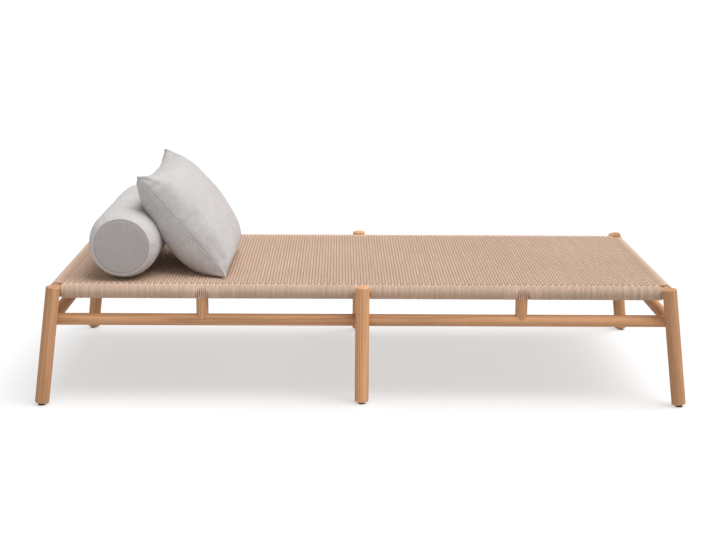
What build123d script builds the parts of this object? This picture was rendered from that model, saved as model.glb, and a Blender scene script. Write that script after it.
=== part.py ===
from build123d import *
import math
import os

# Low six-legged daybed: round teak members, cord-wrapped top rails, woven cord
# seat, loose bolster and loose square pillow.
# Frame: +Z up, X along the length, Y across it (front at -Y).
# Origin: on the floor, under the middle of the seat.  All sizes in mm.

# --- driving dimensions -----------------------------------------------------
leg_top_x = 960.0          # corner leg axes at their top ends, from the middle
leg_top_y = 409.0          # all leg axes at their top ends, from the middle
leg_length = 374.0
leg_diameter = 44.0
splay_x = 7.5              # degrees, corner legs lean in towards the middle
splay_y = 3.0              # degrees, corner legs only
leg_chamfer = 1.5

glide_height = 8.0         # wood end centre above the floor
glide_diameter = 22.0
glide_recess = 3.0         # how far a glide is let into its leg
screw_diameter = 4.0
screw_length = 22.0
screw_head_diameter = 9.0
screw_head_height = 2.4
screw_head_up = 4.0        # flat of the screw head above the floor, on the leg axis

rail_height = 356.0        # axis of all top rails above the floor
rail_setback = 38.0        # long top rails, inwards of the legs' top ends
rail_diameter = 38.0
stretcher_height = 266.0
stretcher_setback = 33.0   # long stretchers, likewise
stretcher_diameter = 38.0
end_inset = 7.0            # long members stop this far inside the corner legs
centre_rail_diameter = 28.0

tenon_diameter = 20.0      # cross members, through the long ones into the legs
tenon_reach = 6.0          # how far those tenons pass the leg axis
spindle_x = 503.0
spindle_diameter = 38.0
spindle_trim = 5.0         # feather edge cut off each coped end
spindle_tenon_diameter = 16.0
spindle_tenon_stop = 5.0   # tenon end to the axis of the member it enters

cord_layer = 4.0           # thickness of the cord wound on a rail
wrap_end_gap = 2.0         # bare wood between a middle leg and the first turn
weave_thickness = 8.0
weave_gap = 1.0            # woven panel edge to the cord wound on the rails

bolster_diameter = 222.0
bolster_length = 590.0
bolster_edge = 46.0        # rounding of the bolster's ends
bolster_x = -757.0
bolster_y = -46.0
pillow_width = 440.0       # along Y
pillow_rise = 420.0        # along its slope
pillow_thickness = 178.0
pillow_seam = 14.0         # thickness left at the seams
pillow_lean = 51.7         # degrees above the seat
pillow_y = -86.0
cover_thickness = 1.5

# --- clearances -------------------------------------------------------------
joint_gap = 0.05           # glue line of the round joints
end_gap = 0.5              # air at the bottom of blind holes
cord_gap = 0.1             # cord to wood
cover_gap = 0.2            # cover to filling
soft_gap = 0.5             # loose cushions to everything else

# --- values worked out from the driving ones --------------------------------
lean_x = math.tan(math.radians(splay_x))
lean_y = math.tan(math.radians(splay_y))
rail_y = leg_top_y - rail_setback
stretcher_y = leg_top_y - stretcher_setback
corner_drop = leg_length / math.sqrt(1 + lean_x**2 + lean_y**2)
wrap_radius = rail_diameter / 2 + cord_layer
seat_top = rail_height + wrap_radius
# the panel's lower edge is the first to meet the round wrap
weave_edge = math.sqrt(wrap_radius**2 - (wrap_radius - weave_thickness)**2) + weave_gap
SIDES = {"front": -1, "rear": 1}
ENDS = {"left": -1, "middle": 0, "right": 1}


def leg_top(end, side):
    """Centre of a leg's top end."""
    rise = leg_length if end == 0 else corner_drop
    return Vector(end * leg_top_x, side * leg_top_y, glide_height + rise)


def leg_up(end, side):
    """Unit vector up a leg's axis.  Middle legs stand straight."""
    if end == 0:
        return Vector(0, 0, 1)
    return Vector(-end * lean_x, -side * lean_y, 1).normalized()


def leg_at(end, side, height):
    """Point on a leg's axis at a height above the floor."""
    top, up = leg_top(end, side), leg_up(end, side)
    return top + up * ((height - top.Z) / up.Z)


def rod(start, finish, diameter):
    """Round bar between two points."""
    start, finish = Vector(start), Vector(finish)
    bar = Cylinder(diameter / 2, (finish - start).length, align=(Align.CENTER, Align.CENTER, Align.MIN))
    return Plane(origin=start, z_dir=finish - start) * bar


def long_axis(side, height, offset, gap=0.0):
    """Ends of a long member's axis, stopping inside the corner legs."""
    reach = leg_at(1, 1, height).X + leg_diameter / 2 - end_inset + gap
    return (-reach, side * offset, height), (reach, side * offset, height)


def long_rail_blank(side, gap=0.0):
    return rod(*long_axis(side, rail_height, rail_y, gap), rail_diameter + 2 * gap)


def long_stretcher_blank(side, gap=0.0):
    return rod(*long_axis(side, stretcher_height, stretcher_y, gap), stretcher_diameter + 2 * gap)


def cross_tenon(end, height, gap=0.0, end_air=0.0):
    """Tenon bar of a cross member, from inside one leg to inside the other."""
    x = leg_at(end, 1, height).X
    reach = leg_at(end, 1, height).Y + tenon_reach + end_air
    return rod((x, -reach, height), (x, reach, height), tenon_diameter + 2 * gap)


def cross_member(end, height, offset, diameter, long_diameter):
    """Bar between two long members, coped round them, with its through tenons."""
    x = leg_at(end, 1, height).X
    bar = rod((x, -offset, height), (x, offset, height), diameter)
    for side in SIDES.values():
        bar -= rod((x - diameter, side * offset, height), (x + diameter, side * offset, height),
                   long_diameter + 2 * joint_gap)
    return bar + cross_tenon(end, height)


def spindle_points(end, side):
    low = Vector(end * spindle_x, side * stretcher_y, stretcher_height)
    high = Vector(end * spindle_x, side * rail_y, rail_height)
    return low, high


def spindle_tenon(end, side, gap=0.0, end_air=0.0):
    low, high = spindle_points(end, side)
    up = (high - low).normalized()
    stop = spindle_tenon_stop - end_air
    return rod(low + up * stop, high - up * stop, spindle_tenon_diameter + 2 * gap)


def spindle(end, side):
    """Upright between the long members, coped to both, feather edges trimmed."""
    low, high = spindle_points(end, side)
    up = (high - low).normalized()
    bar = rod(low + up * spindle_trim, high - up * spindle_trim, spindle_diameter)
    bar -= long_rail_blank(side, joint_gap) + long_stretcher_blank(side, joint_gap)
    return bar + spindle_tenon(end, side)


def long_member(blank, end_height, side):
    """Long bar with its spindle mortises and the holes the cross tenons pass."""
    for end in ENDS.values():
        blank -= cross_tenon(end, end_height, joint_gap, end_gap)
    for end in (-1, 1):
        blank -= spindle_tenon(end, side, joint_gap, end_gap)
    return blank


def screw_axis(end, side):
    """Underside centre of a glide screw's head, and the direction up the leg."""
    return leg_at(end, side, screw_head_up), leg_up(end, side)


def leg(end, side):
    top, up = leg_top(end, side), leg_up(end, side)
    bottom = top - up * leg_length
    post = rod(bottom, top, leg_diameter)
    post = chamfer(post.edges().filter_by(GeomType.CIRCLE), leg_chamfer)
    post -= long_rail_blank(side, joint_gap) + long_stretcher_blank(side, joint_gap)
    for height in (rail_height, stretcher_height):
        post -= cross_tenon(end, height, joint_gap, end_gap)
    post -= rod(bottom - up, bottom + up * (glide_recess + cord_gap), glide_diameter + 2 * cord_gap)
    head, up = screw_axis(end, side)
    return post - rod(head, head + up * (screw_length + end_gap), screw_diameter + 2 * joint_gap)


def glide(end, side):
    """Moulded foot let into the leg's end and flat on the floor."""
    bottom, up = leg_at(end, side, glide_height), leg_up(end, side)
    foot = rod(bottom - up * glide_diameter, bottom + up * glide_recess, glide_diameter)
    below = Box(4 * leg_diameter, 4 * leg_diameter, 4 * leg_diameter, align=(Align.CENTER, Align.CENTER, Align.MAX))
    foot -= Pos(bottom.X, bottom.Y, 0) * below
    head, up = screw_axis(end, side)
    foot -= rod(head - up * glide_diameter, head + up * (screw_head_height + cord_gap),
                screw_head_diameter + 2 * cord_gap)
    return foot - rod(head, head + up * glide_diameter, screw_diameter + 2 * cord_gap)


def glide_screw(end, side):
    head, up = screw_axis(end, side)
    return (rod(head, head + up * screw_head_height, screw_head_diameter)
            + rod(head, head + up * screw_length, screw_diameter))


def long_wrap(end, side):
    """Cord wound on one bay of a long rail, parted round the spindle's head."""
    inner = leg_diameter / 2 + wrap_end_gap
    outer = leg_at(1, 1, rail_height).X - max(leg_diameter, rail_diameter) / 2 - cord_gap
    ends = [(end * x, side * rail_y, rail_height) for x in (inner, outer)]
    sleeve = rod(*ends, 2 * wrap_radius) - rod(*ends, rail_diameter + 2 * cord_gap)
    low, high = spindle_points(end, side)
    return sleeve - rod(low, high, spindle_diameter + 2 * end_gap)


def end_wrap(end):
    """Cord wound on an end rail, between the two long rails."""
    x = leg_at(end, 1, rail_height).X
    reach = rail_y - wrap_radius - cord_gap
    ends = [(x, side * reach, rail_height) for side in (-1, 1)]
    return rod(*ends, 2 * wrap_radius) - rod(*ends, rail_diameter + 2 * cord_gap)


def seat_weave():
    """Woven cord panel between the four top rails, level with their wrapped tops."""
    half_x = leg_at(1, 1, rail_height).X - weave_edge
    half_y = rail_y - weave_edge
    panel = Box(2 * half_x, 2 * half_y, weave_thickness, align=(Align.CENTER, Align.CENTER, Align.MAX))
    return Pos(0, 0, seat_top) * panel


def bolster(inset=0.0):
    """Round cushion lying along Y; inset gives the inside of its cover."""
    radius = bolster_diameter / 2 - inset
    roll = Cylinder(radius, bolster_length - 2 * inset, rotation=(90, 0, 0))
    roll = fillet(roll.edges().filter_by(GeomType.CIRCLE), bolster_edge - inset)
    return Pos(bolster_x, bolster_y, seat_top + soft_gap + bolster_diameter / 2) * roll


def lens(chord, thickness, seam, depth):
    """Convex lens profile with blunt ends, drawn out along its local Z."""
    half, crown, edge = chord / 2, thickness / 2, seam / 2
    upper = ThreePointArc((-half, edge), (0, crown), (half, edge))
    lower = ThreePointArc((half, -edge), (0, -crown), (-half, -edge))
    sides = [Line((half, edge), (half, -edge)), Line((-half, -edge), (-half, edge))]
    face = make_face(Curve() + [upper, sides[0], lower, sides[1]])
    return extrude(face, depth / 2, both=True)


def pillow_centre():
    """The pillow stands on its lower seam and leans against the bolster."""
    slope = math.radians(pillow_lean)
    half, edge = pillow_rise / 2, pillow_seam / 2
    rise = pillow_thickness / 2 - edge
    arc = (half**2 + rise**2) / (2 * rise)
    z = seat_top + soft_gap + half * math.sin(slope) + edge * math.cos(slope)
    # centre of the arc that faces the bolster, seen from the pillow's centre
    arc_x = math.sin(slope) * (arc - pillow_thickness / 2)
    arc_z = math.cos(slope) * (arc - pillow_thickness / 2)
    fall = z + arc_z - (seat_top + soft_gap + bolster_diameter / 2)
    reach = arc + bolster_diameter / 2 + soft_gap
    return Vector(bolster_x + math.sqrt(reach**2 - fall**2) - arc_x, pillow_y, z)


def pillow(inset=0.0):
    """Square cushion, thick in the middle, thin at all four seams."""
    rise, width = pillow_rise - 2 * inset, pillow_width - 2 * inset
    thickness, seam = pillow_thickness - 2 * inset, pillow_seam - 2 * inset
    across = lens(rise, thickness, seam, width)
    along = Rot(0, 90, 0) * lens(width, thickness, seam, rise)
    body = across & along
    slope = Plane(origin=pillow_centre(), x_dir=(-math.cos(math.radians(pillow_lean)), 0,
                                                math.sin(math.radians(pillow_lean))), z_dir=(0, -1, 0))
    return slope * body


def save(shape, name):
    solids = shape.solids()
    export_step(solids[0] if len(solids) == 1 else Compound(children=list(solids)), f"parts/{name}.step")
    print(name, len(solids), round(sum(s.volume for s in solids)))


def main():
    os.makedirs("parts", exist_ok=True)
    screws = []
    for side_name, side in SIDES.items():
        for end_name, end in ENDS.items():
            save(leg(end, side), f"{side_name}_{end_name}_leg")
            save(glide(end, side), f"{side_name}_{end_name}_glide")
            screws.append(glide_screw(end, side).solid())
        save(long_member(long_rail_blank(side), rail_height, side), f"{side_name}_top_rail")
        save(long_member(long_stretcher_blank(side), stretcher_height, side), f"{side_name}_stretcher")
        for end_name, end in (("left", -1), ("right", 1)):
            save(spindle(end, side), f"{side_name}_{end_name}_spindle")
            save(long_wrap(end, side), f"{side_name}_{end_name}_cord_wrap")
    save(Compound(children=screws), "glide_screws")
    for end_name, end in ENDS.items():
        diameter = centre_rail_diameter if end == 0 else rail_diameter
        save(cross_member(end, rail_height, rail_y, diameter, rail_diameter), f"{end_name}_cross_rail")
        save(cross_member(end, stretcher_height, stretcher_y, stretcher_diameter, stretcher_diameter),
             f"{end_name}_cross_stretcher")
    for end_name, end in (("left", -1), ("right", 1)):
        save(end_wrap(end), f"{end_name}_cord_wrap")
    save(seat_weave(), "seat_weave")
    save(bolster() - bolster(cover_thickness), "bolster_cover")
    save(bolster(cover_thickness + cover_gap), "bolster_filling")
    save(pillow() - pillow(cover_thickness), "pillow_cover")
    save(pillow(cover_thickness + cover_gap), "pillow_filling")


main()
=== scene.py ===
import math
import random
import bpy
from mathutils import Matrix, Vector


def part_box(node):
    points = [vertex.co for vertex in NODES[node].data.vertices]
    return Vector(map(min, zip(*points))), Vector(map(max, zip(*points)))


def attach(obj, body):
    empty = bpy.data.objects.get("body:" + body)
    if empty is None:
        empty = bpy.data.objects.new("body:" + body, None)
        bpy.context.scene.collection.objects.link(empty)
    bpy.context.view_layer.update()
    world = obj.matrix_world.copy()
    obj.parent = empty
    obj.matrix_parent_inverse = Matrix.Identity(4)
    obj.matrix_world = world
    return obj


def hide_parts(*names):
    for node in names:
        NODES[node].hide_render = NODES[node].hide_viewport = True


bl_info = {
    "name": "Woven teak daybed",
    "version": (1, 0, 0),
    "blender": (4, 5, 0),
    "location": "View3D > Sidebar > Daybed",
    "description": "Dresses a teak daybed with wound cord, a woven seat, a bolster and a pillow",
    "category": "Object",
}

import bmesh
import bpy
from bpy.props import FloatProperty, FloatVectorProperty, IntProperty, PointerProperty
from mathutils import Matrix, Vector, noise

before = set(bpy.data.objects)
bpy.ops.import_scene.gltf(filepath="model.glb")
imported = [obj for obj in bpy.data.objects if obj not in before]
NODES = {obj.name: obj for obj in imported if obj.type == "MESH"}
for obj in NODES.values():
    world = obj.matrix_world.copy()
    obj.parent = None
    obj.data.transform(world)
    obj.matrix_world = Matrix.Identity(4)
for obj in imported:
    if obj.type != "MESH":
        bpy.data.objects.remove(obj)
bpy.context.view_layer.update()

# Lean of the corner legs, as the joiner cuts them.
LEG_SPLAY_X = math.radians(7.5)
LEG_SPLAY_Y = math.radians(3.0)
SPINDLE_RADIUS = 0.019
LEG_RADIUS = 0.022
BEHIND_LEG = 0.0272  # a middle leg leaves this much of its rail without wound turns, each way

# Cord: length of one twist, and the heights of the weave.
CORD_TWIST = 0.0085
CORDS_OVER_SPINDLE = 6
HEAD_FOOT = 0.0180  # the cords over a spindle end this far below the rail's axis
WARP_WAVE = 0.0040  # from a front-to-back cord's crest down to its dip
WEFT_SINK = 0.0010  # from the seat's surface down to an end-to-end cord's crest
WEFT_LOW = 0.0024  # and down to its dip
SEAT_PARTS = 4  # pieces that each layer of the weave is made in

# Tones, as shares of the colour that belongs to the finish. The teak tones differ from piece to piece; the
# cord and cloth tones paint light and shade on what is one cord and one cloth.
TEAK_TONE = 0.92
TEAK_TONES = (("middle_leg", 1.2), ("stretcher", 1.03), ("spindle", 1.06))
# the front-to-back cords are painted lighter and the end-to-end ones darker, as light on the ribs and shade
# between them; the end band is painted lighter where the cord leaves that shade
WARP_PAINTED_LIGHT, WEFT_PAINTED_SHADE, END_BAND_TONE = 1.2, 0.65, 0.85
# one cloth covers both cushions: the bolster's end discs, facing away from the light, are painted darker and
# warmer as shade, its round is painted a little lighter and the pillow a little darker
ROUND_PAINTED_LIGHT, DISC_PAINTED_SHADE, DISC_PAINTED_WARMTH, PILLOW_PAINTED_SHADE = 1.02, 0.80, 0.955, 0.95

RING_WIDTH = 0.0068  # of the teak
THREAD = 0.0011  # from one thread of the cloth to the next

SIDES = {"front": -1, "rear": 1}
ENDS = {"left": -1, "right": 1}


def node_centre(name):
    low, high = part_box(name)
    return (low + high) / 2


def wrap_ring(name):
    """Axis point and outside radius of the cord wound on a rail."""
    low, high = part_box(name)
    return (low + high) / 2, (high.z - low.z) / 2


# ---------------------------------------------------------------------------
# Sizes and colours
# ---------------------------------------------------------------------------


class DaybedSizes(bpy.types.PropertyGroup):
    """Sizes of the cord work and of the sewn cushions."""

    cord_pitch: FloatProperty(
        name="Cord pitch", description="Distance from one wound turn to the next",
        default=0.00389, min=0.002, max=0.01, precision=5, unit="LENGTH")
    pair_pitch: FloatProperty(
        name="Pair pitch", description="Distance from one pair of seat cords to the next",
        default=0.009725, min=0.005, max=0.03, precision=5, unit="LENGTH")
    cord_sides: IntProperty(
        name="Cord sides", description="Faces round each cord", default=5, min=4, max=12)
    turn_steps: IntProperty(
        name="Turn steps", description="Straight steps in one turn round a rail",
        default=16, min=8, max=48)
    warp_share: FloatProperty(
        name="Warp cord",
        description="Thickness of the taut front-to-back cords, as a share of the wound cord",
        default=0.77, min=0.5, max=1.0)
    head_pitch: FloatProperty(
        name="Head pitch", description="Distance between the parted cords over a spindle",
        default=0.0065, min=0.004, max=0.012, precision=5, unit="LENGTH")
    bolster_seam: FloatProperty(
        name="Bolster seam", description="Radius of the seam round each end disc",
        default=0.086, min=0.04, max=0.11, precision=4, unit="LENGTH")
    pillow_width: FloatProperty(
        name="Pillow width", description="Width of the pillow along the seat's depth",
        default=0.439, min=0.3, max=0.6, unit="LENGTH")
    pillow_rise: FloatProperty(
        name="Pillow rise", description="Length of the pillow up its slope",
        default=0.425, min=0.3, max=0.6, unit="LENGTH")
    pillow_lean: FloatProperty(
        name="Pillow lean", description="Slope of the pillow above the seat",
        default=math.radians(51.7), subtype="ANGLE")
    pillow_twist: FloatProperty(
        name="Pillow twist", description="How much steeper the pillow's rear edge leans than its middle",
        default=math.radians(2.6), subtype="ANGLE")
    pillow_crown: FloatProperty(
        name="Pillow crown", description="Height of the pillow's upper face above its seams",
        default=0.0934, min=0.03, max=0.15, precision=4, unit="LENGTH")
    pillow_belly: FloatProperty(
        name="Pillow belly", description="Depth of the face that leans on the bolster",
        default=0.114, min=0.03, max=0.15, precision=4, unit="LENGTH")


class DaybedColours(bpy.types.PropertyGroup):
    """Colours of the finishes."""

    cord: FloatVectorProperty(
        name="Cord", description="Colour of the seat cord", subtype="COLOR",
        size=3, min=0.0, max=1.0, default=(0.69, 0.495, 0.364))
    teak: FloatVectorProperty(
        name="Teak", description="Colour of the pale rings of the teak", subtype="COLOR",
        size=3, min=0.0, max=1.0, default=(0.70, 0.370, 0.188))
    teak_dark: FloatVectorProperty(
        name="Teak rings", description="Colour of the dark rings of the teak", subtype="COLOR",
        size=3, min=0.0, max=1.0, default=(0.36, 0.17, 0.075))
    cloth: FloatVectorProperty(
        name="Cloth", description="Colour of both cushion covers", subtype="COLOR",
        size=3, min=0.0, max=1.0, default=(0.64, 0.61, 0.60))
    glide: FloatVectorProperty(
        name="Glide", description="Colour of the moulded glides", subtype="COLOR",
        size=3, min=0.0, max=1.0, default=(0.02, 0.019, 0.018))


# ---------------------------------------------------------------------------
# Finishes
# ---------------------------------------------------------------------------


class Strand:
    """One socket of a finish's node tree. Sums of strands add their Math nodes."""

    def __init__(self, tree, socket):
        self.tree, self.socket = tree, socket

    def node(self, kind, settings=None, out=0, stops=None, inputs=None):
        """Adds a node: its settings, its ramp stops, then its sockets' values or links."""
        made = self.tree.nodes.new(kind)
        for name, value in (settings or {}).items():
            setattr(made, name, value)
        if stops:
            ramp = made.color_ramp.elements
            while len(ramp) < len(stops):
                ramp.new(0.5)
            for element, (place, colour) in zip(ramp, stops):
                element.position = place
                element.color = (*colour, 1.0) if len(colour) == 3 else colour
        for name, value in (inputs or {}).items():
            socket = made.inputs[name]
            if isinstance(value, Strand):
                self.tree.links.new(value.socket, socket)
            else:
                socket.default_value = value
        return Strand(self.tree, made.outputs[out])

    def sum_of(self, operation, *values):
        return self.node("ShaderNodeMath", {"operation": operation}, inputs=dict(enumerate(values)))

    def to(self, operation, *others):
        """This value put through a Math operation, such as SINE or FRACT."""
        return self.sum_of(operation, self, *others)

    def __add__(self, other):
        return self.sum_of("ADD", self, other)

    def __radd__(self, other):
        return self.sum_of("ADD", other, self)

    def __sub__(self, other):
        return self.sum_of("SUBTRACT", self, other)

    def __rsub__(self, other):
        return self.sum_of("SUBTRACT", other, self)

    def __mul__(self, other):
        return self.sum_of("MULTIPLY", self, other)

    def __truediv__(self, other):
        return self.sum_of("DIVIDE", self, other)

    def parts(self):
        """The three numbers of a vector."""
        split = self.node("ShaderNodeSeparateXYZ", inputs={"Vector": self})
        owner = split.socket.node
        return [Strand(self.tree, owner.outputs[axis]) for axis in range(3)]

    def placed(self, turn=(0, 0, 0), shift=(0, 0, 0), scale=(1, 1, 1)):
        return self.node("ShaderNodeMapping", inputs={
            "Vector": self, "Rotation": turn, "Location": shift, "Scale": scale})

    def grain(self, size, detail=3.0, rough=0.55):
        """Smooth noise of about that size, from 0 to 1."""
        return self.node("ShaderNodeTexNoise", inputs={
            "Vector": self, "Scale": 1.0 / size, "Detail": detail, "Roughness": rough})

    def between(self, first, second):
        """Colour between two others, by this value."""
        return self.node("ShaderNodeMix", {"data_type": "RGBA"}, out=2,
                         inputs={0: self, 6: first, 7: second})

    def shaded(self, shade):
        """A colour made darker or lighter by a value."""
        return self.node("ShaderNodeVectorMath", {"operation": "SCALE"}, inputs={
            "Vector": self, "Scale": shade})

    def ramp(self, *stops):
        return self.node("ShaderNodeValToRGB", stops=stops, inputs={"Fac": self})

    def spread(self, low, high, to_low=0.0, to_high=1.0):
        """Rescales a range of this value and cuts off what lies outside."""
        return self.node("ShaderNodeMapRange", {"clamp": True}, inputs={
            "Value": self, "From Min": low, "From Max": high, "To Min": to_low, "To Max": to_high})


def rgba(colour, gain=1.0):
    return tuple(min(1.0, c * gain) for c in colour) + (1.0,)


class Finish:
    """A material with one Principled shader and the strands that feed it."""

    def __init__(self, name, **constants):
        self.material = bpy.data.materials.new(name)
        self.material.use_nodes = True
        tree = self.material.node_tree
        self.shader = tree.nodes["Principled BSDF"]
        for socket, value in constants.items():
            self.shader.inputs[socket.replace("_", " ")].default_value = value
        self.tree = tree
        self.object_place = self.source("ShaderNodeTexCoord", 3)

    def source(self, kind, out):
        return Strand(self.tree, self.tree.nodes.new(kind).outputs[out])

    def feed(self, colour=None, roughness=None, height=None, depth=0.001, strength=1.0):
        if colour is not None:
            self.tree.links.new(colour.socket, self.shader.inputs["Base Color"])
        if roughness is not None:
            self.tree.links.new(roughness.socket, self.shader.inputs["Roughness"])
        if height is not None:
            bump = height.node("ShaderNodeBump", inputs={
                "Height": height, "Distance": depth, "Strength": strength})
            self.tree.links.new(bump.socket, self.shader.inputs["Normal"])
        return self.material


def teak_finish(name, grain_axis, on_axis, seed, colours, tone=1.0):
    """Oiled teak with its log's axis along the member, so rings show as long bands."""
    chance = random.Random(seed)
    turn = Vector(grain_axis).rotation_difference(Vector((1, 0, 0)))
    heart = chance.uniform(0.035, 0.075)
    bearing = chance.uniform(0, 2 * math.pi)
    at = turn @ Vector(on_axis)
    start = chance.uniform(-2, 2)
    shift = Vector((start, heart * math.cos(bearing) - at.y, heart * math.sin(bearing) - at.z))
    made = Finish(name, Specular_IOR_Level=0.35)
    wood = made.object_place.placed(turn=turn.to_euler(), shift=shift)
    along, across, up = wood.parts()
    sway = wood.placed(scale=(1.2, 9, 9)).grain(1.0, 2.0) - 0.5
    ripple = wood.placed(scale=(9, 60, 60)).grain(1.0, 2.0) - 0.5
    radius = (across * across + up * up).to("SQRT") + sway * 0.020 + ripple * 0.0022
    ring = (radius / RING_WIDTH).to("FRACT")
    grown = ((0.0, 0.25), (0.18, 0.0), (0.55, 0.16), (0.86, 0.8), (1.0, 0.25))
    late = ring.ramp(*((place, (dark,) * 3) for place, dark in grown))
    fibre = wood.placed(scale=(35, 1400, 1400)).grain(1.0, 3.0, 0.6)
    pores = wood.placed(scale=(60, 900, 900)).grain(1.0, 1.0).spread(0.60, 0.72)
    stain = wood.placed(scale=(2.0, 42, 42)).grain(1.0, 2.0).spread(0.32, 0.68)
    tone *= chance.uniform(0.97, 1.03)
    pale = stain.between(rgba(colours.teak, tone * 0.84), rgba(colours.teak, tone * 1.16))
    dark = rgba(colours.teak_dark, tone)
    clear = wood.placed(scale=(1.5, 22, 22), shift=(3, 0, 0)).grain(1.0, 1.0).spread(0.38, 0.62, 0.3, 1.0)
    amount = late * clear * 0.8 + fibre.spread(0.35, 0.75) * 0.22 + pores * 0.16
    colour = amount.between(pale, dark)
    rough = 0.5 + fibre * 0.16 - late * 0.05
    height = fibre * 0.5 + late * 0.35 - pores * 0.6
    return made.feed(colour, rough, height, depth=0.0004, strength=0.5)


def cord_finish(name, across_axis, colours, tone=1.0, open_from=None):
    """Twisted cord: three plies along u, with a slightly different tone from cord to cord."""
    made = Finish(name, Specular_IOR_Level=0.3, Sheen_Weight=0.12, Sheen_Roughness=0.6)
    u, v, _ = made.source("ShaderNodeTexCoord", 2).parts()
    ply = ((u / CORD_TWIST + v) * (2 * math.pi)).to("SINE") * 0.5 + 0.5
    fine = [6.0, 6.0, 6.0]
    fine[across_axis] = 260.0
    each = made.object_place.placed(scale=fine).grain(1.0, 2.0, 0.6)
    patch = made.object_place.grain(0.35, 2.0)
    fluff = made.object_place.grain(0.0011, 2.0)
    shade = each.spread(0.25, 0.75, 0.88 * tone, 1.12 * tone) * patch.spread(0.3, 0.7, 0.965, 1.035)
    # the grooves between the plies, low in the bump, are painted darker as shade
    shade = shade * ply.spread(0.0, 1.0, 0.94, 1.02) * fluff.spread(0.2, 0.8, 0.94, 1.06)
    if open_from is not None:
        # past the weave the cord crosses its rail, where it isn't shaded by its neighbours
        past = made.object_place.parts()[1 - across_axis].to("ABSOLUTE")
        shade = shade * past.spread(open_from, open_from + 0.006, 1.0, END_BAND_TONE / tone)
    # a cord painted darker as shade is also painted warmer, with less green and blue
    red, green, blue = colours.cord
    green, blue = green * (0.84 + 0.16 * min(tone, 1)), blue * (0.7 + 0.3 * min(tone, 1))
    base = each.between(rgba((red, green, blue)), rgba((red, green * 1.03, blue * 1.09)))
    colour = base.shaded(shade)
    rough = 0.72 + fluff * 0.14
    height = ply * 0.4 + fluff * 0.35
    return made.feed(colour, rough, height, depth=0.0004, strength=0.6)


def linen_threads(first, second, along_first, along_second):
    """Height of a plain weave, from two places across the cloth, 0 to 1."""
    warp = first.to("SINE") * 0.5 + 0.5
    weft = second.to("SINE") * 0.5 + 0.5
    over = ((first * 0.5).to("SINE") * (second * 0.5).to("SINE")).spread(-0.2, 0.2)
    slub = along_first * 0.5 + along_second * 0.5
    return (warp * over + weft * (1.0 - over)) * (0.65 + slub * 0.5)


def cloth_finish(name, placing, colours, tone=1.0, tint=1.0):
    """Plain linen weave. placing turns the object's place into two distances on the cloth."""
    made = Finish(name, Specular_IOR_Level=0.2, Sheen_Weight=0.25, Sheen_Roughness=0.5)
    place = made.object_place
    across, along = placing(place)
    thread = 2 * math.pi / THREAD
    flat = across.node("ShaderNodeCombineXYZ", inputs={0: across, 1: along})
    slub_a = flat.placed(scale=(900, 25, 1)).grain(1.0, 2.0, 0.6)
    slub_b = flat.placed(scale=(25, 900, 1)).grain(1.0, 2.0, 0.6)
    weave = linen_threads(across * thread, along * thread, slub_a, slub_b)
    cloud = place.grain(0.11, 3.0)
    fleck = place.grain(0.0024, 2.0)
    # where the threads dip under one another, low in the bump, the cloth is painted darker as shade
    shade = weave.spread(0.0, 1.0, 0.90, 1.06) * cloud.spread(0.3, 0.7, 0.97, 1.03)
    shade = shade * (slub_a * 0.5 + slub_b * 0.5).spread(0.3, 0.7, 0.85, 1.15)
    shade = shade * fleck.spread(0.25, 0.75, 0.91, 1.09)
    # tone paints the cloth lighter or darker for the light on each cushion, and tint paints it warmer where
    # it stands in shade
    red, green, blue = (c * tone for c in colours.cloth)
    green, blue = green * tint, blue * tint
    base = cloud.between(rgba((red, green, blue)), rgba((red * 1.02, green * 1.02, blue * 1.02)))
    colour = base.shaded(shade)
    rough = 0.82 + weave * 0.1
    height = weave * 0.8 + (slub_a + slub_b) * 0.4
    return made.feed(colour, rough, height, depth=0.0005, strength=0.6)


def glide_finish(colours):
    """Moulded plastic, matt and slightly grained, scuffed grey near the floor."""
    made = Finish("moulded_glide", Specular_IOR_Level=0.4)
    pit = made.object_place.grain(0.0006, 2.0)
    _, _, up = made.object_place.parts()
    scuff = up.spread(0.0, 0.003, 1.0, 0.0) * made.object_place.grain(0.002, 2.0).spread(0.4, 0.7)
    colour = scuff.between(rgba(colours.glide), rgba((0.10, 0.095, 0.09)))
    return made.feed(colour, 0.5 + pit * 0.2, pit, depth=0.0001, strength=0.5)


def screw_finish():
    """Zinc-plated steel, finely turned."""
    made = Finish("screw_steel", Metallic=1.0)
    turned = made.object_place.grain(0.0004, 2.0)
    colour = turned.between(rgba((0.52, 0.52, 0.53)), rgba((0.68, 0.68, 0.67)))
    return made.feed(colour, 0.32 + turned * 0.15, turned, depth=0.00005, strength=0.4)


# ---------------------------------------------------------------------------
# Making pieces
# ---------------------------------------------------------------------------


def dress(piece, *finishes):
    """Gives a piece its finishes, in the order of its faces' material numbers."""
    if piece.data.materials:
        piece.data.materials.clear()
    for finish in finishes:
        piece.data.materials.append(finish)


def add_piece(name, mesh, body, slot, stands_for, *finishes):
    """Puts a finished mesh in the scene as a piece of the daybed."""
    mesh.name = name
    piece = bpy.data.objects.new(name, mesh)
    bpy.context.scene.collection.objects.link(piece)
    dress(piece, *finishes)
    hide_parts(*stands_for)
    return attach(piece, body)


def as_mesh(holder):
    """A mesh of what an object looks like with its modifiers and bevels."""
    return bpy.data.meshes.new_from_object(holder.evaluated_get(bpy.context.evaluated_depsgraph_get()))


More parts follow.
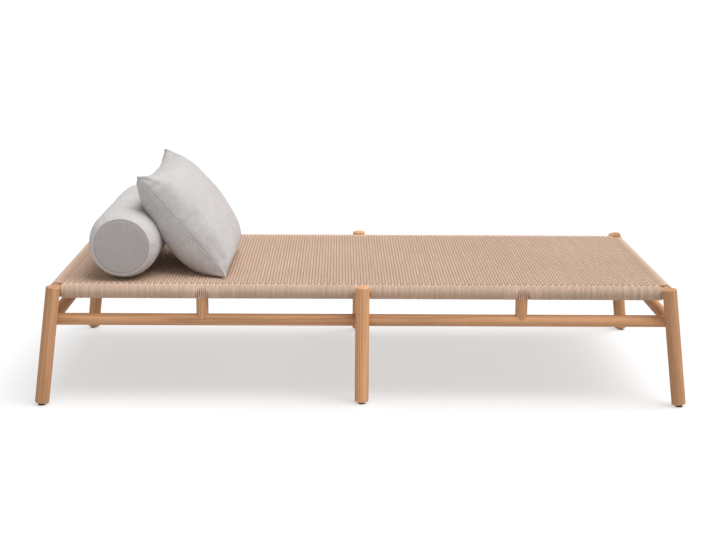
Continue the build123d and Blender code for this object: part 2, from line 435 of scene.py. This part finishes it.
def cord_tubes(made, runs, radius, sides, twist="MINIMUM"):
    """Adds round cords along runs of points, with u in metres along each cord.

    A point's fourth number, where it has one, is the cord's thickness there as a share of the rest.
    """
    ring = bpy.data.curves.new("cord_ring", "CURVE")
    spline = ring.splines.new("POLY")
    spline.points.add(sides - 1)
    spline.use_cyclic_u = True
    # a flat face up and down keeps crossing cords in touch
    corners = [2 * math.pi * (i + 0.5) / sides + math.pi / 2 for i in range(sides)]
    places = [(radius * math.cos(a), radius * math.sin(a), 0, 1) for a in corners]
    spline.points.foreach_set("co", [c for place in places for c in place])
    profile = bpy.data.objects.new("cord_ring", ring)
    bpy.context.scene.collection.objects.link(profile)
    for run in runs:
        line = bpy.data.curves.new("cord_line", "CURVE")
        line.dimensions, line.twist_mode = "3D", twist
        line.bevel_mode, line.bevel_object, line.use_fill_caps = "OBJECT", profile, True
        strands = run if isinstance(run[0][0], (tuple, list, Vector)) else [run]
        for strand in strands:
            points = line.splines.new("POLY")
            points.points.add(len(strand) - 1)
            points.points.foreach_set("co", [c for p in strand for c in (*p[:3], 1.0)])
            points.points.foreach_set("radius", [p[3] if len(p) > 3 else 1.0 for p in strand])
        holder = bpy.data.objects.new("cord_line", line)
        bpy.context.scene.collection.objects.link(holder)
        mesh = as_mesh(holder)
        length = sum(math.dist(a[:3], b[:3]) for a, b in zip(strands[0], strands[0][1:]))
        part = bmesh.new()
        part.from_mesh(mesh)
        layer = part.loops.layers.uv.active
        for face in part.faces:
            for loop in face.loops:
                loop[layer].uv.x *= length
        part.to_mesh(mesh)
        part.free()
        made.from_mesh(mesh)
        bpy.data.objects.remove(holder)
        bpy.data.curves.remove(line)
        bpy.data.meshes.remove(mesh)
    bpy.data.objects.remove(profile)
    bpy.data.curves.remove(ring)


def cord_mesh(runs, radius, sides, twist="MINIMUM"):
    """One mesh of all the cords along the runs, smooth along them and flat at their ends."""
    made = bmesh.new()
    cord_tubes(made, runs, radius, sides, twist)
    bmesh.ops.remove_doubles(made, verts=made.verts, dist=1e-6)
    bmesh.ops.recalc_face_normals(made, faces=made.faces)
    for face in made.faces:
        face.smooth = len(face.verts) == 4
    mesh = bpy.data.meshes.new("cord")
    made.to_mesh(mesh)
    made.free()
    return mesh


def ease(value, low, high):
    """0 below low, 1 above high, smooth between."""
    t = min(1.0, max(0.0, (value - low) / (high - low)))
    return t * t * (3 - 2 * t)


# ---------------------------------------------------------------------------
# Pieces
# ---------------------------------------------------------------------------


class DAYBED_OT_teak(bpy.types.Operator):
    """Gives every teak member its grain, along its own axis"""

    bl_idname = "daybed.teak"
    bl_label = "Teak members"

    def execute(self, context):
        colours = context.scene.daybed_colours
        members = {}
        for side, way in SIDES.items():
            members[f"{side}_middle_leg"] = (0, 0, 1)
            members[f"{side}_top_rail"] = members[f"{side}_stretcher"] = (1, 0, 0)
            for end, reach in ENDS.items():
                lean = (-reach * math.tan(LEG_SPLAY_X), -way * math.tan(LEG_SPLAY_Y), 1)
                members[f"{side}_{end}_leg"] = lean
                members[f"{side}_{end}_spindle"] = (0, 0, 1)
        for place in ("left", "middle", "right"):
            members[f"{place}_cross_rail"] = members[f"{place}_cross_stretcher"] = (0, 1, 0)
        for seed, (name, axis) in enumerate(sorted(members.items())):
            own = [tone for kind, tone in TEAK_TONES if name.endswith(kind)]
            tone = own[0] if own else TEAK_TONE
            finish = teak_finish(f"teak_{name}", axis, node_centre(name), seed + 11, colours, tone)
            dress(NODES[name], finish)
        return {"FINISHED"}


class DAYBED_OT_glides(bpy.types.Operator):
    """Finishes the moulded glides and their screws"""

    bl_idname = "daybed.glides"
    bl_label = "Glides and screws"

    def execute(self, context):
        moulded = glide_finish(context.scene.daybed_colours)
        for name in NODES:
            if name.endswith("_glide"):
                dress(NODES[name], moulded)
        dress(NODES["glide_screws"], screw_finish())
        return {"FINISHED"}


def turn_phase(number, pitch):
    """Where a numbered turn crosses the top of its rail."""
    return pitch * (number + 0.25)


def wound_run(first, last, spindle, axis_y, axis_z, radius, sizes):
    """Centre line of cord wound from turn first to turn last, leaning clear of the spindle."""
    pitch, steps = sizes.cord_pitch, sizes.turn_steps
    clear = SPINDLE_RADIUS + pitch * 0.62
    points = []
    for step in range(round((last - first) * steps) + 1):
        turns = first + step / steps
        angle = 2 * math.pi * turns
        x = turn_phase(turns, pitch)
        down = abs(math.remainder(angle, 2 * math.pi))
        away = x - spindle
        near = 3 * pitch
        if abs(away) < 16 * pitch:
            push = (clear - near) * max(0.0, 1 - (abs(away) - near) / (12 * pitch))
            x += math.copysign(push * ease(down, 0.55, 1.9), away)
        points.append((x, axis_y - radius * math.sin(angle), axis_z + radius * math.cos(angle)))
    return points


def head_run(number, count, centre, spindle, side, axis_y, axis_z, radius, sizes):
    """One of the parted cords that pass over a spindle's head, outside and inside."""
    pitch = sizes.cord_pitch
    slot = number - (count - 1) / 2
    offset = slot * sizes.head_pitch
    on_head = math.sqrt(max(0.0, SPINDLE_RADIUS**2 - offset**2)) + pitch / 2
    half = []
    for step in range(0, 9):
        angle = math.radians(95) * step / 8
        parted = ease(angle, 0.5, 1.5)
        x = centre + (spindle - centre) * parted + slot * (pitch + (sizes.head_pitch - pitch) * parted)
        half.append((x, radius * math.sin(angle), axis_z + radius * math.cos(angle)))
    foot = axis_z - HEAD_FOOT
    for z in (axis_z - 0.006, axis_z - 0.010, axis_z - 0.014, foot):
        bow = math.sqrt(max(0.0, radius**2 - (z - axis_z) ** 2))
        half.append((spindle + offset, max(bow, on_head), z))
    half.append((spindle + offset, max(0.0, half[-1][1] - 0.0026), foot - 0.0022))
    half.append((spindle + offset, max(0.0, half[-2][1] - 0.0052), foot - 0.0026))
    outer = [(x, axis_y + side * y, z) for x, y, z in half]
    inner = [(x, axis_y - side * y, z) for x, y, z in half]
    return inner[:0:-1] + outer


def behind_leg_run(x, side, axis_y, axis_z, radius, leg_y, leg_radius):
    """A seat cord that passes over the rail behind the middle leg and back up inside."""
    reach = abs(leg_y - axis_y) - math.sqrt(max(0.0, leg_radius**2 - x**2)) - 0.0028
    limit = math.asin(min(1.0, reach / radius)) if reach < radius else math.radians(150)
    stop = -math.radians(150)
    steps = 14
    angles = [stop + (limit - stop) * i / steps for i in range(steps + 1)]
    return [(x, axis_y + side * radius * math.sin(a), axis_z + radius * math.cos(a)) for a in angles]


class DAYBED_OT_wound_cord(bpy.types.Operator):
    """Winds cord on the four top rails and parts it over the spindles"""

    bl_idname = "daybed.wound_cord"
    bl_label = "Wound cord"

    def execute(self, context):
        sizes, colours = context.scene.daybed_sizes, context.scene.daybed_colours
        pitch, sides = sizes.cord_pitch, sizes.cord_sides
        thick = pitch / 2
        long_finish = cord_finish("cord_on_long_rails", 0, colours)
        end_finish = cord_finish("cord_on_end_rails", 1, colours)
        for side, way in SIDES.items():
            for end, reach in ENDS.items():
                name = f"{side}_{end}_cord_wrap"
                low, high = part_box(name)
                middle, outside = wrap_ring(name)
                radius = outside - thick
                first = math.ceil((low.x + thick) / pitch - 0.25)
                last = math.floor((high.x - thick) / pitch - 0.25)
                spindle = node_centre(f"{side}_{end}_spindle").x
                count = CORDS_OVER_SPINDLE
                start = round(spindle / pitch - 0.25 - (count - 1) / 2)
                centre = turn_phase(start + (count - 1) / 2, pitch)
                # at the corner leg one more turn tucks in beside it, under its lean
                tuck = (1.5, 0.5) if reach < 0 else (0.5, 1.5)
                where = (middle.y, middle.z, radius, sizes)
                runs = [
                    wound_run(first - tuck[0], start - 0.5, spindle, *where),
                    wound_run(start + count - 0.5, last + tuck[1], spindle, *where),
                    [head_run(n, count, centre, spindle, way, *where) for n in range(count)],
                ]
                mesh = cord_mesh(runs, thick, sides)
                add_piece(f"{name}_wound", mesh, "frame", "cord", [name], long_finish)
        for end in ENDS:
            name = f"{end}_cord_wrap"
            low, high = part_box(name)
            middle, outside = wrap_ring(name)
            radius = outside - thick
            first = math.ceil((low.y + thick) / pitch - 0.25)
            last = math.floor((high.y - thick) / pitch - 0.25)
            steps = sizes.turn_steps
            run = []
            for step in range((last - first) * steps + 1):
                angle = 2 * math.pi * step / steps
                y = turn_phase(first + step / steps, pitch)
                run.append((middle.x - radius * math.sin(angle), y, middle.z + radius * math.cos(angle)))
            mesh = cord_mesh([run], thick, sides)
            add_piece(f"{name}_wound", mesh, "frame", "cord", [name], end_finish)
        return {"FINISHED"}


def woven_line(count, row_pitch, rail, top, crest, dip, over_first):
    """Places and heights along one seat cord, from rail top to rail top."""
    last = (count - 1) / 2 * row_pitch
    line = [(-rail, top), (-rail + 0.006, top - 0.0004)]
    line.append((-rail + 0.012, top - 0.0010))
    for row in range(count):
        place = -last + row * row_pitch
        height = crest if (row % 2 == 0) == over_first else dip
        line.append((place - row_pitch * 0.2, height))
        line.append((place + row_pitch * 0.2, height))
    line += [(rail - 0.012, top - 0.0010), (rail - 0.006, top - 0.0004), (rail, top)]
    return line


class DAYBED_OT_seat(bpy.types.Operator):
    """Weaves the seat in pairs of cords, over one pair and under the next"""

    bl_idname = "daybed.seat"
    bl_label = "Woven seat"

    def execute(self, context):
        sizes, colours = context.scene.daybed_sizes, context.scene.daybed_colours
        pitch, pair = sizes.cord_pitch, sizes.pair_pitch
        thick = pitch / 2
        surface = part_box("seat_weave")[1].z
        slim = thick * sizes.warp_share
        warp_over, warp_under = surface - slim, surface - slim - WARP_WAVE
        weft_over, weft_under = surface - thick - WEFT_SINK, surface - thick - WEFT_LOW
        rail, outside = wrap_ring("front_left_cord_wrap")
        end_rail, _ = wrap_ring("right_cord_wrap")
        rail_y, rail_x = abs(rail.y), abs(end_rail.x)
        top = rail.z + outside - thick
        half_x = int((rail_x - outside - pitch) / pair)
        half_y = round((rail_y - outside) / pair)
        row_pitch = (rail_y - outside) / half_y
        columns = range(-half_x, half_x + 1)
        rows = range(-half_y, half_y + 1)
        leg_y = abs(node_centre("front_middle_leg").y)
        wander = random.Random(5)

        def cords(own_pitch, across_pitch, across_count, rail_reach, numbers, flip, over, under, share):
            """One list of cord centre lines for each pair."""
            made = []
            for number in numbers:
                over_first = (number + flip) % 2 == 0
                nudge = -0.25 * pitch if number % 2 == 0 else 0.25 * pitch
                line = woven_line(across_count, across_pitch, rail_reach, over, over, under, over_first)
                drift = [wander.uniform(-0.00022, 0.00022) for _ in range(2)]
                for slot in (-0.5, 0.5):
                    strand = []
                    for place, height in line:
                        at_rail = ease(abs(place), rail_reach - 0.024, rail_reach - 0.004)
                        fade = 1 - at_rail
                        sway = drift[0] * math.sin(place * 5.1 + number)
                        sway += drift[1] * math.sin(place * 13.7 + 2 * number)
                        snug = share + (1 - share) * at_rail
                        spot = number * own_pitch + slot * pitch * snug + nudge * at_rail + sway * fade
                        strand.append((spot, place, height + (top - over) * at_rail, snug))
                    made.append(strand)
            return made

        def weave(layer, part, runs, finish):
            mesh = cord_mesh(runs, thick, sizes.cord_sides, "Z_UP")
            add_piece(f"seat_cords_{layer}_{part + 1}", mesh, "frame", "cord", ["seat_weave"], finish)

        def shared_out(numbers):
            """The numbers in as many lists as the weave has pieces."""
            stops = [part * len(numbers) // SEAT_PARTS for part in range(SEAT_PARTS + 1)]
            return [numbers[start:stop] for start, stop in zip(stops, stops[1:])]

        # one cord makes the whole seat; the end-to-end ones are painted darker, and the others
        # lighter, for more shade between the ribs than the weave's own depth gives
        warp_finish = cord_finish("cord_front_to_back", 0, colours, WARP_PAINTED_LIGHT)
        weft_finish = cord_finish("cord_end_to_end", 1, colours, WEFT_PAINTED_SHADE, half_x * pair + pitch)
        slim_share = sizes.warp_share
        for part, some in enumerate(shared_out(columns)):
            runs = [cords(pair, row_pitch, len(rows), rail_y, some, 0, warp_over, warp_under, slim_share)]
            if part == 0:
                for way in (-1, 1):
                    place = (way, way * rail_y, rail.z, outside - thick, way * leg_y, LEG_RADIUS)
                    bare = [turn_phase(n, pitch) for n in range(-8, 8)]
                    runs += [behind_leg_run(x, *place) for x in bare if abs(x) < BEHIND_LEG]
            weave("across", part, runs, warp_finish)
        for part, some in enumerate(shared_out(rows)):
            lines = cords(row_pitch, pair, len(columns), rail_x, some, 1, weft_over, weft_under, 1.0)
            turned = [[(place, spot, height, wide) for spot, place, height, wide in strand]
                      for strand in lines]
            weave("along", part, [turned], weft_finish)
        return {"FINISHED"}


# ---------------------------------------------------------------------------
# Cushions
# ---------------------------------------------------------------------------


def inflate(mesh, pressure, frames, cap, stiffness=15.0, quality=6):
    """Blows a closed cover up as cloth and returns where its points end, each moved at most cap."""
    scene = bpy.context.scene
    bag = bpy.data.objects.new("cover_being_filled", mesh.copy())
    scene.collection.objects.link(bag)
    cloth = bag.modifiers.new("filling", "CLOTH")
    settings = cloth.settings
    settings.use_pressure = True
    settings.uniform_pressure_force = pressure
    settings.quality = quality
    settings.mass = 0.25
    settings.tension_stiffness = settings.compression_stiffness = stiffness
    settings.shear_stiffness = stiffness * 0.4
    settings.bending_stiffness = 0.4
    settings.effector_weights.gravity = 0
    cloth.point_cache.frame_start, cloth.point_cache.frame_end = 1, frames
    rest = [v.co.copy() for v in mesh.vertices]
    for number in range(1, frames + 1):
        scene.frame_set(number)
    filled = bag.evaluated_get(bpy.context.evaluated_depsgraph_get())
    ends = [v.co.copy() for v in filled.data.vertices]
    scene.frame_set(1)
    shell = bag.data
    bpy.data.objects.remove(bag)
    bpy.data.meshes.remove(shell)
    held = []
    for was, now in zip(rest, ends):
        move = now - was
        held.append(was + move * min(1.0, cap / max(move.length, 1e-9)))
    return held


def smooth_mesh(made, name):
    """Turns a bmesh into a mesh with one round of Catmull-Clark subdivision baked in."""
    mesh = bpy.data.meshes.new(name)
    bmesh.ops.recalc_face_normals(made, faces=made.faces)
    for face in made.faces:
        face.smooth = True
    made.to_mesh(mesh)
    made.free()
    holder = bpy.data.objects.new(name, mesh)
    bpy.context.scene.collection.objects.link(holder)
    finer = holder.modifiers.new("finer", "SUBSURF")
    finer.levels = finer.render_levels = 1
    fine = as_mesh(holder)
    bpy.data.objects.remove(holder)
    bpy.data.meshes.remove(mesh)
    return fine


ROLL_LOW, ROLL_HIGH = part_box("bolster_cover")
ROLL = (ROLL_LOW + ROLL_HIGH) / 2
ROLL_RADIUS, ROLL_HALF = (ROLL_HIGH.z - ROLL_LOW.z) / 2, (ROLL_HIGH.y - ROLL_LOW.y) / 2
SHOULDER = 0.078  # length of the roll's rounded shoulder, from its full size to its end


def roll_outside(y):
    """Radius of the bolster at a place along its length; 0 past its ends."""
    past = abs(y - ROLL.y) - (ROLL_HALF - SHOULDER)
    if past <= 0:
        return ROLL_RADIUS
    if past >= SHOULDER:
        return 0.0
    seam = bpy.context.scene.daybed_sizes.bolster_seam
    return seam + (ROLL_RADIUS - seam) * (1 - (past / SHOULDER) ** 2) ** 0.65


class DAYBED_OT_bolster(bpy.types.Operator):
    """Sews and fills the round bolster"""

    bl_idname = "daybed.bolster"
    bl_label = "Bolster"

    def execute(self, context):
        sizes, colours = context.scene.daybed_sizes, context.scene.daybed_colours
        middle, radius, half = ROLL, ROLL_RADIUS, ROLL_HALF
        seam = sizes.bolster_seam
        profile = [(0.0, half + 0.003)]
        profile += [(seam * t, half + 0.003 * (1 - t * t)) for t in (0.25, 0.5, 0.75, 0.92)]
        profile += [(seam - 0.0024, half + 0.0002), (seam - 0.0010, half - 0.0014), (seam, half - 0.0042)]
        profile += [(seam + 0.0012, half - 0.0014), (seam + 0.0032, half - 0.0004)]
        for step in range(1, 9):
            angle = math.radians(90) * (0.16 + 0.84 * step / 8)
            out = seam + (radius - seam) * math.sin(angle) ** 1.3
            profile.append((out, half - SHOULDER * (1 - math.cos(angle))))
        plain = half - SHOULDER
        rows = 14
        line = profile + [(radius, plain * (1 - 2 * (i + 1) / (rows + 1))) for i in range(rows)]
        line += [(r, -y) for r, y in reversed(profile)]
        made = bmesh.new()
        points = [made.verts.new((r, y, 0)) for r, y in line]
        edges = [made.edges.new(pair) for pair in zip(points, points[1:])]
        bmesh.ops.spin(made, geom=points + edges, cent=(0, 0, 0), axis=(0, 1, 0),
                       angle=2 * math.pi, steps=96, use_merge=True)
        # this leaves the faces and edges in another order each run, and the filling follows it:
        # the finished round has come out up to 0.4 mm different from one run to the next
        bmesh.ops.remove_doubles(made, verts=made.verts, dist=1e-5)
        bmesh.ops.recalc_face_normals(made, faces=made.faces)
        sack = bpy.data.meshes.new("bolster")
        made.to_mesh(sack)
        for vert, place in zip(made.verts, inflate(sack, 3.0, 14, 0.004)):
            # the end discs are stretched flat, and the seams keep their place
            vert.co = vert.co.lerp(place, ease(half - abs(vert.co.y), 0.006, 0.03))
        bpy.data.meshes.remove(sack)
        for vert in made.verts:
            co = vert.co
            out = math.hypot(co.x, co.z)
            lump = noise.noise(Vector((co.x * 9, co.y * 7, co.z * 9))) * 0.0022
            angle = math.atan2(co.z, co.x)
            near = ease(out, seam, seam + 0.006) * (1 - ease(half - abs(co.y), 0.006, 0.06))
            round_seam = Vector((math.cos(angle) * 6, math.copysign(4, co.y), math.sin(angle) * 6))
            pucker = noise.noise(round_seam) * 0.0022 * near
            if out > 1e-6:
                gain = 1 + (lump * ease(out, 0.05, radius) + pucker) / out
                co.x, co.z = co.x * gain, co.z * gain
            # limit to the cover's round, then settle on the seat
            out = math.hypot(co.x, co.z)
            limit = radius + 0.001
            if out > limit:
                co.x, co.z = co.x * limit / out, co.z * limit / out
            co.z = max(co.z, -radius)
        for vert in made.verts:
            vert.co += middle
        for face in made.faces:
            centre = face.calc_center_median() - middle
            face.material_index = int(math.hypot(centre.x, centre.z) < seam and abs(centre.y) > half - 0.02)
        mesh = smooth_mesh(made, "bolster")

        def round_place(place):
            x, y, z = place.placed(shift=-middle).parts()
            return z.to("ARCTAN2", x) * radius, y

        def disc_place(place):
            x, _, z = place.placed(shift=-middle).parts()
            return x, z

        # the end discs get a copy of the cloth painted darker and warmer, as shade
        tube = cloth_finish("linen_round_bolster", round_place, colours, ROUND_PAINTED_LIGHT)
        disc = cloth_finish("linen_bolster_end", disc_place, colours, DISC_PAINTED_SHADE, DISC_PAINTED_WARMTH)
        hidden = ["bolster_cover", "bolster_filling"]
        piece = add_piece("bolster", mesh, "bolster", "bolster_cloth", hidden, tube, disc)
        return {"FINISHED"}


class DAYBED_OT_pillow(bpy.types.Operator):
    """Sews and fills the square pillow, then leans it on the bolster"""

    bl_idname = "daybed.pillow"
    bl_label = "Pillow"

    def execute(self, context):
        sizes, colours = context.scene.daybed_sizes, context.scene.daybed_colours
        low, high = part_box("pillow_cover")
        middle = (low + high) / 2
        seat_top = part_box("seat_weave")[1].z
        lean, rise = sizes.pillow_lean, sizes.pillow_rise
        along = Vector((0, 1, 0))
        # the filling has settled a little to the foot of the slope
        foot = middle + Vector((math.cos(lean), 0, -math.sin(lean))) * rise / 2 + Vector((-0.004, 0, 0.003))

        def pulled(place, other, to_low, to_high):
            """A place from -1 to 1, drawn in where the seam is slack between two corners."""
            return place * (1 - (to_low if place < 0 else to_high) * max(0.0, 1 - other * other) ** 0.74)

        def outside(u, v, side, size=1.0):
            """Point of the plump cover; u runs to the rear, v up the slope, side is its face."""
            crown = max(0.0, (1 - abs(u) ** 2.5) * (1 - abs(v) ** 2.5)) ** 0.46
            # the filling doesn't reach into the corners, which stand out as ears
            crown *= 1 - 0.30 * abs(u * v) ** 4
            ear = 1 + 0.028 * abs(u * v) ** 6
            half = sizes.pillow_crown if side > 0 else sizes.pillow_belly * (1 - 0.2 * v)
            angle = lean + sizes.pillow_twist * u
            up = Vector((-math.cos(angle), 0, math.sin(angle)))
            face = Vector((math.sin(angle), 0, math.cos(angle)))
            across = pulled(u, v, 0.052, 0.036) * sizes.pillow_width / 2 * size * ear
            climb = rise / 2 * (1 + pulled(v, u, 0.03, 0.105) * size * (ear if v > 0 else 1))
            return foot + along * across + up * climb + face * (side * half * crown * size)

        cells = 62
        made = bmesh.new()
        bmesh.ops.create_grid(made, x_segments=cells, y_segments=cells, size=1)

        def spaced(t):
            """Grid place to cover place: close rows at the seam, even steps on the crown."""
            rows = round((1 - abs(t)) * cells / 2)
            from_seam = (0.0, 0.2, 0.5, 1.0)[rows] if rows < 3.5 else rows - 2
            return math.copysign(math.sin((1 - from_seam / (cells / 2 - 2)) * math.pi / 2), t), rows

        both = bmesh.ops.duplicate(made, geom=made.faces[:])
        lower = {v for v in both["geom"] if isinstance(v, bmesh.types.BMVert)}
        places = {}
        for vert in made.verts:
            (u, rows_u), (v, rows_v) = spaced(vert.co.x), spaced(vert.co.y)
            places[vert] = (u, v, -1 if vert in lower else 1, min(rows_u, rows_v))
        for vert, (u, v, side, _) in places.items():
            vert.co = outside(u, v, side, 0.99)
        seam = [v for v, (_, _, side, rows) in places.items() if rows == 0]
        merged = bmesh.ops.find_doubles(made, verts=seam, dist=1e-5)["targetmap"]
        for vert in merged:
            places.pop(vert)
        bmesh.ops.weld_verts(made, targetmap=merged)
        bmesh.ops.recalc_face_normals(made, faces=made.faces)
        sack = bpy.data.meshes.new("pillow")
        made.to_mesh(sack)
        for vert, place in zip(made.verts, inflate(sack, 2.5, 12, 0.007)):
            vert.co = place
        bpy.data.meshes.remove(sack)
        made.normal_update()
        for vert, (u, v, side, rows) in places.items():
            # soft folds run in from the seams and gather at the corners
            corner = abs(u * v) ** 3
            edge_u, edge_v = ease(abs(u), 0.72, 0.99), ease(abs(v), 0.72, 0.99)
            fold = noise.noise(Vector((v * 13, side * 5, 1.7))) * edge_u
            fold += noise.noise(Vector((u * 13, side * 5, 7.1))) * edge_v
            fold += noise.noise(Vector((u * 9 - v * 9, side * 2, 3.3))) * corner * 1.6
            soft = noise.noise(Vector((u * 2.6, v * 2.6, side * 4.0))) * 0.0035
            inner = min(1.0, rows / 4)
            vert.co += vert.normal * ((fold * 0.0035 + soft) * inner)
        heart = (outside(0.0, 0.0, 1) + outside(0.0, 0.0, -1)) / 2
        for vert, (u, v, _, rows) in places.items():
            if rows == 0:
                inward = (heart - vert.co).normalized()
                vert.co += inward * 0.0028 * (1 - abs(u * v) ** 6)
        mesh = smooth_mesh(made, "pillow")
        gap = 0.0008
        for vert in mesh.vertices:
            co = vert.co
            flat_way = Vector((co.x - ROLL.x, 0, co.z - ROLL.z))
            inside = roll_outside(co.y) + gap - flat_way.length
            if inside > 0:
                co += flat_way.normalized() * inside
            co.z = max(co.z, seat_top + gap)

        def pillow_place(place):
            x, y, z = place.placed(shift=-middle).parts()
            return y, z * math.sin(lean) - x * math.cos(lean)

        finish = cloth_finish("linen_pillow", pillow_place, colours, PILLOW_PAINTED_SHADE)
        hidden = ["pillow_cover", "pillow_filling"]
        piece = add_piece("pillow", mesh, "pillow", "pillow_cloth", hidden, finish)
        return {"FINISHED"}


# ---------------------------------------------------------------------------
# Stage
# ---------------------------------------------------------------------------


class DAYBED_OT_stage(bpy.types.Operator):
    """Sets the floor, the studio light and the camera"""

    bl_idname = "daybed.stage"
    bl_label = "Studio"

    def execute(self, context):
        scene = context.scene
        scene.view_settings.view_transform = "Standard"
        made = bmesh.new()
        bmesh.ops.create_grid(made, x_segments=1, y_segments=1, size=30)
        mesh = bpy.data.meshes.new("studio_floor")
        made.to_mesh(mesh)
        made.free()
        floor = bpy.data.objects.new("studio_floor", mesh)
        scene.collection.objects.link(floor)
        pale = Finish("studio_floor", Roughness=0.9, Specular_IOR_Level=0.1, Alpha=0.5)
        cloud = pale.object_place.grain(3.0, 1.0)
        dress(floor, pale.feed(cloud.between(rgba((0.90, 0.90, 0.90)), rgba((0.91, 0.91, 0.91)))))

        # the studio is white to look at and lights the daybed softly from all round
        world = bpy.data.worlds.new("studio")
        world.use_nodes = True
        tree = world.node_tree
        looked_at = Strand(tree, tree.nodes.new("ShaderNodeLightPath").outputs["Is Camera Ray"])
        backdrop = tree.nodes["Background"]
        backdrop.inputs["Color"].default_value = (1, 1, 1, 1)
        tree.links.new(looked_at.spread(0.0, 1.0, 0.43, 1.05).socket, backdrop.inputs["Strength"])
        scene.world = world

        # one very large, soft light overhead, a little to the right
        lamp = bpy.data.lights.new("overhead_light", "SUN")
        lamp.energy, lamp.angle = 2.75, math.radians(50)
        light = bpy.data.objects.new("overhead_light", lamp)
        scene.collection.objects.link(light)
        light.rotation_euler = Vector((-0.42, 0.08, -1.0)).to_track_quat("-Z", "Y").to_euler()

        camera = bpy.data.cameras.new("camera")
        camera.sensor_width, camera.lens = 36.0, 62.78
        eye = bpy.data.objects.new("camera", camera)
        scene.collection.objects.link(eye)
        eye.location = (-0.0717, -4.1883, 1.3749)
        facing, tilt, roll = math.radians(-0.958), math.radians(90 - 13.938), math.radians(0.4966)
        turn = Matrix.Rotation(facing, 3, "Z") @ Matrix.Rotation(tilt, 3, "X") @ Matrix.Rotation(roll, 3, "Z")
        eye.rotation_euler = turn.to_euler()
        scene.camera = eye
        return {"FINISHED"}


class DAYBED_PT_panel(bpy.types.Panel):
    """Lists the daybed's sizes, colours and pieces"""

    bl_idname = "DAYBED_PT_panel"
    bl_label = "Daybed"
    bl_space_type = "VIEW_3D"
    bl_region_type = "UI"
    bl_category = "Daybed"

    def draw(self, context):
        for group in (context.scene.daybed_sizes, context.scene.daybed_colours):
            for name in group.bl_rna.properties.keys():
                if name not in ("rna_type", "name"):
                    self.layout.prop(group, name)
        for operator in OPERATORS:
            self.layout.operator(operator.bl_idname)


OPERATORS = (DAYBED_OT_stage, DAYBED_OT_teak, DAYBED_OT_glides, DAYBED_OT_wound_cord,
             DAYBED_OT_seat, DAYBED_OT_bolster, DAYBED_OT_pillow)
CLASSES = (DaybedSizes, DaybedColours, *OPERATORS, DAYBED_PT_panel)


def register():
    for each in CLASSES:
        bpy.utils.register_class(each)
    bpy.types.Scene.daybed_sizes = PointerProperty(type=DaybedSizes)
    bpy.types.Scene.daybed_colours = PointerProperty(type=DaybedColours)


def unregister():
    del bpy.types.Scene.daybed_colours
    del bpy.types.Scene.daybed_sizes
    for each in reversed(CLASSES):
        bpy.utils.unregister_class(each)


def main():
    register()
    for operator in OPERATORS:
        getattr(bpy.ops.daybed, operator.bl_idname.split(".")[1])()


if __name__ == "__main__":
    main()
